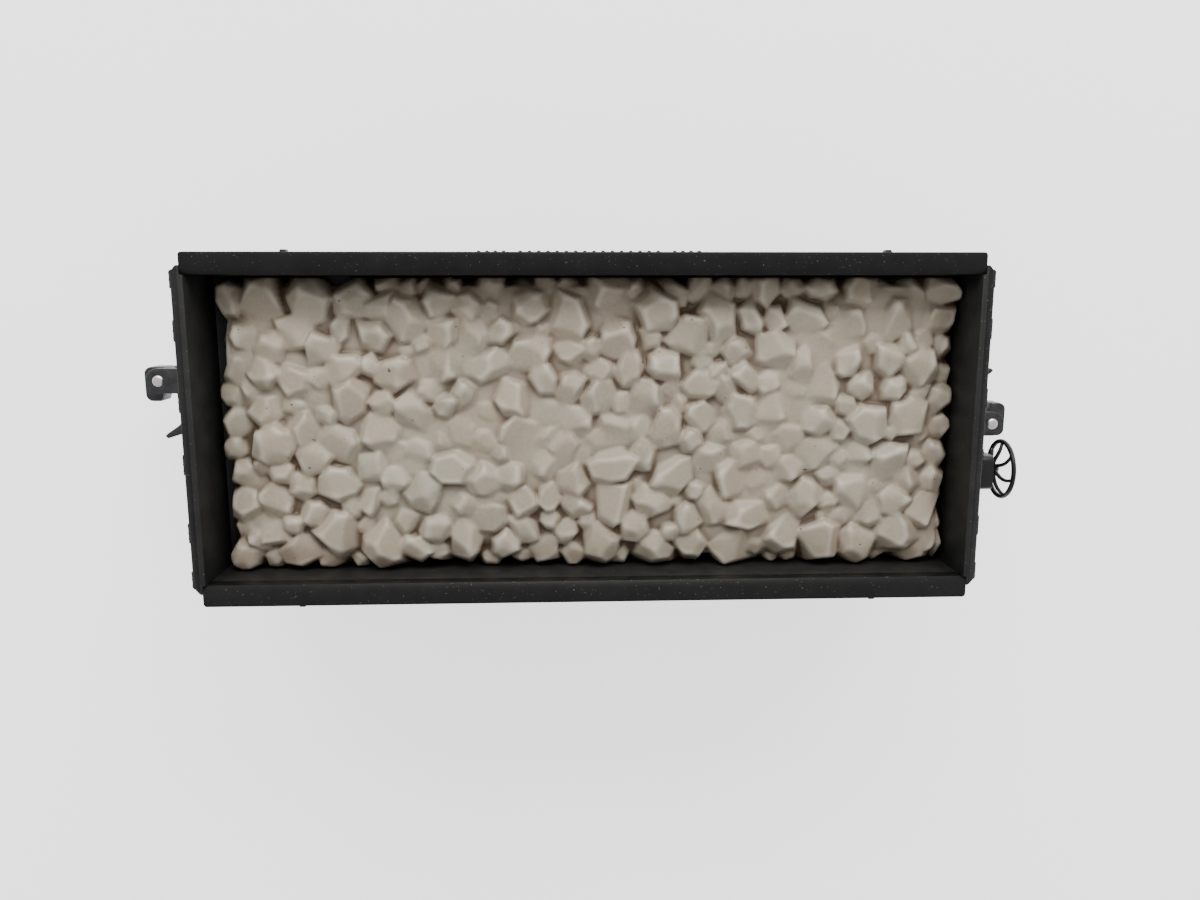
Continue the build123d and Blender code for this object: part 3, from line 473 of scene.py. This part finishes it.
def ore_field(rng, cell):
    """Height field of the load: a crowned bed with faceted stones set in it, in mm."""
    low, high = (np.array(corner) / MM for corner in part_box("ore_load"))
    middle = (low + high) / 2
    half_x, half_y = (high[0] - low[0]) / 2, (high[1] - low[1]) / 2
    xs = np.arange(-half_x, half_x + cell / 2, cell)
    ys = np.arange(-half_y, half_y + cell / 2, cell)
    gx, gy = np.meshgrid(xs, ys, indexing="ij")
    inset_x, inset_y = half_x - np.abs(gx), half_y - np.abs(gy)
    inset = -np.log(np.exp(-inset_x / CORNER_ROUND) + np.exp(-inset_y / CORNER_ROUND)) * CORNER_ROUND
    bed_top = high[2] - BED_BELOW_TOP

    def bed(distance):
        return bed_top - EDGE_DROP * np.exp(-np.maximum(distance, -8) / EDGE_REACH)

    slow = blurred(rng.normal(size=gx.shape), SWELL_WIDTH / cell)
    slow *= SWELL / slow.std()
    field = bed(inset) + slow - GAP_DEPTH * np.clip((GAP_WIDTH - inset) / GAP_WIDTH, 0, 1) ** 1.5
    tone = np.full(gx.shape, 0.5)
    for x, y, size in place_stones(rng, half_x, half_y):
        window = STONE_REACH * size
        i0, i1 = np.searchsorted(xs, (x - window, x + window))
        j0, j1 = np.searchsorted(ys, (y - window, y + window))
        dx, dy = gx[i0:i1, j0:j1] - x, gy[i0:i1, j0:j1] - y
        planes = stone_planes(rng, size)[:, :, None, None]
        facets = planes[:, 0] * dx + planes[:, 1] * dy + planes[:, 2]
        lowest = facets.min(axis=0)
        top = lowest - FACET_ROUND * np.log(np.exp(-(facets - lowest) / FACET_ROUND).sum(axis=0))
        reach = min(half_x - abs(x), half_y - abs(y))
        top = top + float(bed(np.array(reach))) - STONE_SINK * size + rng.uniform(-0.45, 0.55)
        part = field[i0:i1, j0:j1]
        tone[i0:i1, j0:j1] = np.where(top > part, rng.uniform(0, 1), tone[i0:i1, j0:j1])
        field[i0:i1, j0:j1] = soft_top(part, top, STONE_FILLET)
    limit = high[2] - CREST_MARGIN
    field = np.where(field > limit, limit + CREST_SOFT * np.tanh((field - limit) / CREST_SOFT), field)
    field = blurred(field, FIELD_BLUR / cell)
    # near and wide measure how far the field lies below its blurs; they set the painted shade in the hollows
    # and the painted highlight on the ridges
    near, wide = blurred(field, NEAR_BLUR / cell) - field, blurred(field, WIDE_BLUR / cell) - field
    layers = {
        "hollow_shade": np.clip(0.75 * (near - 0.10) / 0.55 + 0.35 * (wide - 0.45) / 1.2, 0, 1),
        "ridge_highlight": np.clip((-near - 0.10) / 0.35, 0, 1),
        "tone": blurred(tone, TONE_BLUR / cell),
        "wall_shade": np.exp(-np.maximum(inset, 0) / WALL_SHADE_WIDTH),
    }
    return middle, low[2], gx, gy, field, layers


def make_ore():
    """The height field as a closed mesh, with walls and a flat underside, in place of the CAD load."""
    rng = np.random.default_rng(ORE_SEED)
    cell = CELL
    middle, bottom, gx, gy, field, layers = ore_field(rng, cell)
    solid = field > bottom + MIN_THICKNESS
    columns = gx.shape[1]
    keep = solid[:-1, :-1] & solid[1:, :-1] & solid[:-1, 1:] & solid[1:, 1:]
    i, j = np.nonzero(keep)
    corner = i * columns + j
    quads = np.stack((corner, corner + columns, corner + columns + 1, corner + 1), axis=1)
    used, quads = np.unique(quads, return_inverse=True)
    quads = quads.reshape(-1, 4)
    points = np.stack(
        (gx.ravel()[used] + middle[0], gy.ravel()[used] + middle[1], field.ravel()[used]), axis=1
    )
    mesh = bpy.data.meshes.new("ore_rocks")
    mesh.from_pydata((points * MM).tolist(), [], quads.tolist())
    for name, values in layers.items():
        layer = mesh.attributes.new(name, "FLOAT", "POINT")
        layer.data.foreach_set("value", values.ravel()[used].astype(np.float32))
    bm = bmesh.new()
    bm.from_mesh(mesh)
    rim = [edge for edge in bm.edges if edge.is_boundary]
    walls = bmesh.ops.extrude_edge_only(bm, edges=rim)["geom"]
    for vert in (item for item in walls if isinstance(item, bmesh.types.BMVert)):
        vert.co.z = bottom * MM
        for name, value in UNDERSIDE.items():
            vert[bm.verts.layers.float[name]] = value
    foot = [item for item in walls if isinstance(item, bmesh.types.BMEdge) and item.is_boundary]
    underside = set(bmesh.ops.edgeloop_fill(bm, edges=foot)["faces"])
    bmesh.ops.recalc_face_normals(bm, faces=bm.faces)
    for face in bm.faces:
        face.smooth = face not in underside
    bm.to_mesh(mesh)
    bm.free()
    piece = new_piece("ore_rocks", mesh, "load", "ore", ORE)
    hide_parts("ore_load")


make_ore()

# ---------------------------------------------------------------- softened mouldings and castings
MOULDED = (     # node, and the width of its rounded edges in mm
    ("side_chord_left", 0.14), ("side_chord_right", 0.14),
    ("end_chord_front", 0.14), ("end_chord_rear", 0.14),
    ("end_posts_front", 0.14), ("end_posts_rear", 0.14), ("end_wall_front", 0.12), ("end_wall_rear", 0.12),
    ("side_posts", 0.14), ("side_sheet_left", 0.1), ("side_sheet_right", 0.1),
    ("side_sill_left", 0.12), ("side_sill_right", 0.12), ("end_deck_front", 0.12), ("end_deck_rear", 0.12),
    ("center_sill_front", 0.15), ("center_sill_rear", 0.15), ("body_bolster_front", 0.15),
    ("body_bolster_rear", 0.15), ("hopper_doors", 0.12),
    ("hopper_side_left", 0.1), ("hopper_side_right", 0.1),
    ("truck_bolster_front", 0.2), ("truck_bolster_rear", 0.2), ("truck_frames_front", 0.22),
    ("truck_frames_rear", 0.22), ("coupler_shank_front", 0.2), ("coupler_shank_rear", 0.2),
    ("coupler_head_front", 0.2), ("coupler_head_rear", 0.2), ("knuckle_front", 0.28), ("knuckle_rear", 0.28),
    ("end_sill_front", 0.12), ("end_sill_rear", 0.12), ("sill_steps", 0.14), ("brake_stand", 0.14),
    ("slope_sheet_front", 0.1), ("slope_sheet_rear", 0.1), ("hopper_throat", 0.1),
)
for node, width in MOULDED:
    soften(node, width * MM)


# ---------------------------------------------------------------- wheels, springs, rivets and the brake wheel
def make_wheels(node, axle_node):
    """Two wheels with a coned tread, a rounded flange, a dished plate and a stepped hub."""
    low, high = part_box(axle_node)
    middle = (Vector(low) + Vector(high)) / 2
    inner, outer = 14.0, 19.4       # mm from the middle of the axle to the wheel's two faces
    body = [
        (1.4, inner), (3.1, inner), (3.3, inner + 0.2), (3.5, inner + 0.9), (4.2, inner + 1.5),
        (6.3, inner + 1.7), (7.0, inner + 1.3), (7.3, inner + 0.2), (7.5, inner),
    ]
    flange = [
        (9.75, inner), (9.95, inner + 0.07), (10.07, inner + 0.22), (10.1, inner + 0.45),
        (10.05, inner + 0.68), (9.86, inner + 0.9), (9.35, inner + 1.22), (8.98, inner + 1.45),
        (8.86, inner + 1.75),
    ]
    tread = [(8.75, outer - 0.3), (8.66, outer - 0.09), (8.45, outer)]
    face = [
        (7.35, outer), (7.2, outer - 0.12), (6.95, outer - 1.0), (6.6, outer - 1.2), (4.1, outer - 1.32),
        (3.4, outer - 1.1), (3.1, outer - 0.3), (2.9, outer), (2.2, outer), (2.1, outer - 0.25),
        (1.4, outer - 0.25),
    ]
    profile = [(radius * MM, height * MM) for radius, height in body + flange + tread + face]
    bright = range(len(body) + 3, len(body) + len(flange) + 1)      # rings from the flange's top to the tread
    bm = bmesh.new()
    for side in (-1, 1):
        faces = lathe(bm, profile, middle, (0, side, 0), WHEEL_SIDES)
        for ring in bright:
            for face_on_ring in faces[ring * WHEEL_SIDES:(ring + 1) * WHEEL_SIDES]:
                face_on_ring.material_index = 1
    replace_node(bm, node, WHEEL, TREAD)


def make_springs(node):
    """A coil spring in place of each of the plain spring posts."""
    bm = bmesh.new()
    wire, turns, steps_per_turn = 0.36 * MM, 4.6, 22
    closed = 0.6                    # turns at each end that lie flat
    plate = 0.25                    # thickness of the end plates, in mm
    for low, high in lumps(node):
        middle = (low + high) / 2
        radius = (high.x - low.x) / 2 - wire
        steps = int(turns * steps_per_turn)
        points = []
        for i in range(steps + 1):
            turn = turns * i / steps
            rise = min(1.0, max(0.0, (turn - closed) / (turns - 2 * closed)))
            angle = 2 * math.pi * turn
            height = low.z + wire + (high.z - low.z - 2 * wire) * rise
            points.append(Vector((
                middle.x + radius * math.cos(angle), middle.y + radius * math.sin(angle), height
            )))
        sweep_tube(bm, points, wire, sides=10)
        for foot in (low.z, high.z - plate * MM):
            flat = [Vector((middle.x, middle.y, foot + step * MM)) for step in (0.0, plate)]
            sweep_tube(bm, flat, radius * 0.62, sides=24)
    replace_node(bm, node, SPRING)


def make_rivets(node):
    """A smooth round head in place of each rivet of the CAD rows."""
    bm = bmesh.new()
    for low, high in lumps(node):
        size, middle = high - low, (low + high) / 2
        axis = min(range(3), key=lambda k: size[k])
        side = 1 if middle[axis] > 0 else -1
        outward = Vector((0, 0, 0))
        outward[axis] = side
        foot = middle - outward * size[axis] / 2
        radius = max(size) / 2
        points, radii = [], []
        for lift in (0, 18, 36, 54, 70, 84):
            points.append(foot + outward * size[axis] * math.sin(math.radians(lift)))
            radii.append(radius * math.cos(math.radians(lift)))
        sweep_tube(bm, points, radii, sides=16)
    replace_node(bm, node, RIM)


def make_brake_wheel(node):
    """Round rim, curved tapering spokes, hub and shaft of the handbrake wheel."""
    low, high = (Vector(corner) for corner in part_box(node))
    middle = (low + high) / 2
    rim_wire, dish = 0.45 * MM, 1.6 * MM
    rim_facets, spokes, spoke_steps = 14, 7, 12
    hub_ring = 0.7 * MM             # where the spokes start
    spoke_sweep = 0.24              # how far a spoke bows round the wheel, in radians
    ring = (high.z - low.z) / 2 - rim_wire
    rim_x, hub_x = high.x - rim_wire, high.x - rim_wire - dish
    bm = bmesh.new()
    circle = [2 * math.pi * i / rim_facets for i in range(rim_facets)]
    profile = [(ring + rim_wire * math.cos(a), rim_wire * math.sin(a)) for a in circle]
    lathe(bm, profile, (rim_x, middle.y, middle.z), (1, 0, 0), WHEEL_SIDES)
    for i in range(spokes):
        start = 2 * math.pi * i / spokes
        points, radii = [], []
        for step in range(spoke_steps + 1):
            part = step / spoke_steps
            out = hub_ring + (ring - hub_ring) * part
            angle = start + spoke_sweep * math.sin(math.pi * part)
            points.append(Vector((
                hub_x + (rim_x - hub_x) * part ** 1.6,
                middle.y + out * math.cos(angle), middle.z + out * math.sin(angle),
            )))
            radii.append((0.42 - 0.12 * part) * MM)
        sweep_tube(bm, points, radii, sides=10)
    turned = (      # place along the shaft, and radius in mm
        (low.x, 0.64), (low.x + 0.06 * MM, 0.7), (hub_x - 0.95 * MM, 0.7), (hub_x - 0.9 * MM, 1.0),
        (hub_x - 0.8 * MM, 1.1), (hub_x + 0.45 * MM, 1.1), (hub_x + 0.6 * MM, 0.95),
        (hub_x + 0.62 * MM, 0.62), (hub_x + 0.95 * MM, 0.62), (hub_x + 1.05 * MM, 0.5),
    )
    points = [Vector((x, middle.y, middle.z)) for x, _ in turned]
    sweep_tube(bm, points, [radius * MM for _, radius in turned], sides=28)
    replace_node(bm, node, FITTINGS)


def make_grab_irons(node):
    """Round bars with bent ends in place of the square ladder bars."""
    bm = bmesh.new()
    wire, bend = 0.32 * MM, 0.45 * MM
    for low, high in lumps(node):
        side = 1 if low.y > 0 else -1
        inner, outer = (low.y, high.y) if side > 0 else (high.y, low.y)
        height, across = (low.z + high.z) / 2, outer - side * wire
        half_path = (       # distance in from the bar's end, and place across the wagon
            (wire, inner), (wire, across - side * bend / 2), (wire + bend / 3, across), (wire + bend, across),
        )
        points = [Vector((low.x + along, y, height)) for along, y in half_path]
        points += [Vector((high.x - along, y, height)) for along, y in reversed(half_path)]
        sweep_tube(bm, points, wire, sides=12)
    replace_node(bm, node, FITTINGS)


def make_turned(node, profile, material, sides):
    """A turned piece on the upright axis of a CAD node, from (radius, height above its foot) in mm."""
    low, high = (Vector(corner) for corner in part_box(node))
    middle = (low + high) / 2
    bm = bmesh.new()
    points = [Vector((middle.x, middle.y, low.z + height * MM)) for _, height in profile]
    sweep_tube(bm, points, [radius * MM for radius, _ in profile], sides=sides)
    replace_node(bm, node, material)


COUPLER_RIVET = (
    (0.35, 0.0), (0.8, 0.05), (1.08, 0.16), (1.22, 0.32), (1.25, 0.4), (0.8, 0.4),
    (0.8, 8.8), (1.25, 8.8), (1.22, 8.88), (1.08, 9.04), (0.8, 9.15), (0.35, 9.2),
)
PLUNGER_TURNED = (
    (4.3, 0.0), (4.52, 0.1), (4.6, 0.3), (4.6, 0.7), (4.52, 0.9), (4.3, 1.0), (1.6, 1.0), (1.15, 1.25),
    (0.9, 1.6), (0.9, 14.5), (1.5, 14.5), (1.6, 14.6), (1.6, 14.85), (1.45, 15.0),
)

for end in ENDS:
    make_turned(f"coupler_rivet_{end}", COUPLER_RIVET, RIVET, sides=40)
    make_turned(f"plunger_{end}", PLUNGER_TURNED, PLUNGER, sides=64)
    make_springs(f"truck_springs_{end}")
    for axle in ("outer", "inner"):
        make_wheels(f"wheels_{end}_{axle}", f"axle_{end}_{axle}")
make_grab_irons("grab_irons")
make_rivets("rim_rivets")
make_brake_wheel("brake_wheel")

# every CAD node that still shows gets its slot's finish
for node, obj in frame["nodes"].items():
    obj.data.materials.clear()
    obj.data.materials.append(SLOT_MATERIALS[NODE_SLOT[node]])


# ---------------------------------------------------------------- the floor, lights and camera
def make_floor():
    """The pale surface that the wagon stands on."""
    mesh = bpy.data.meshes.new("floor")
    half = 1.6                      # metres
    corners = [(-half, -half, 0), (half, -half, 0), (half, half, 0), (-half, half, 0)]
    mesh.from_pydata(corners, [], [(0, 1, 2, 3)])
    floor = bpy.data.objects.new("floor", mesh)
    mesh.materials.append(FLOOR)
    bpy.context.scene.collection.objects.link(floor)


def area_light(name, place, target, size, power, colour):
    data = bpy.data.lights.new(name, "AREA")
    data.shape = "RECTANGLE"
    data.size, data.size_y = size
    data.energy = power
    data.color = colour
    lamp = bpy.data.objects.new(name, data)
    lamp.location = place
    lamp.rotation_euler = (Vector(target) - Vector(place)).to_track_quat("-Z", "Y").to_euler()
    bpy.context.scene.collection.objects.link(lamp)


def make_lights():
    """Pale surroundings, brighter towards +Y and darker overhead, with one broad lamp on the +Y side."""
    world = bpy.data.worlds.new("studio")
    world.use_nodes = True
    tree = world.node_tree
    sky = tree.nodes["Background"]
    direction = tree.nodes.new("ShaderNodeTexCoord").outputs["Generated"]
    facing = tree.nodes.new("ShaderNodeVectorMath")
    facing.operation = "DOT_PRODUCT"
    facing.inputs[1].default_value = (0.0, 0.80, -0.60)     # the brightest direction
    ramp = tree.nodes.new("ShaderNodeMapRange")
    for socket, value in (("From Min", -1.0), ("To Min", 0.70), ("To Max", 1.40)):
        ramp.inputs[socket].default_value = value
    tree.links.new(direction, facing.inputs[0])
    tree.links.new(facing.outputs["Value"], ramp.inputs["Value"])
    tree.links.new(ramp.outputs["Result"], sky.inputs["Strength"])
    sky.inputs["Color"].default_value = (0.98, 0.99, 1.0, 1.0)
    bpy.context.scene.world = world
    area_light("key", (0.03, 0.62, 0.50), (0, 0, 0.05), (0.8, 0.35), 7.0, (1.0, 0.99, 0.97))


def make_camera():
    """Looks down into the wagon from above its middle, leaning a little from the -Y side."""
    tilt_x, tilt_y, roll = (math.radians(angle) for angle in (9.84, 2.27, 0.43))
    turn = Matrix.Rotation(roll, 3, "Z") @ Matrix.Rotation(tilt_y, 3, "Y") @ Matrix.Rotation(tilt_x, 3, "X")
    back = turn.transposed()
    data = bpy.data.cameras.new("camera")
    data.lens = 28.2
    data.sensor_width = 36.0
    data.clip_start = 0.01
    camera = bpy.data.objects.new("camera", data)
    from_rim = Vector((1.73, -3.05, 163.6)) * MM        # right, up and back from the middle of the rim
    place = Vector((0, 0, RIM_TOP)) + back @ from_rim
    camera.matrix_world = Matrix.Translation(place) @ back.to_4x4()
    bpy.context.scene.collection.objects.link(camera)
    bpy.context.scene.camera = camera


make_floor()
make_lights()
make_camera()
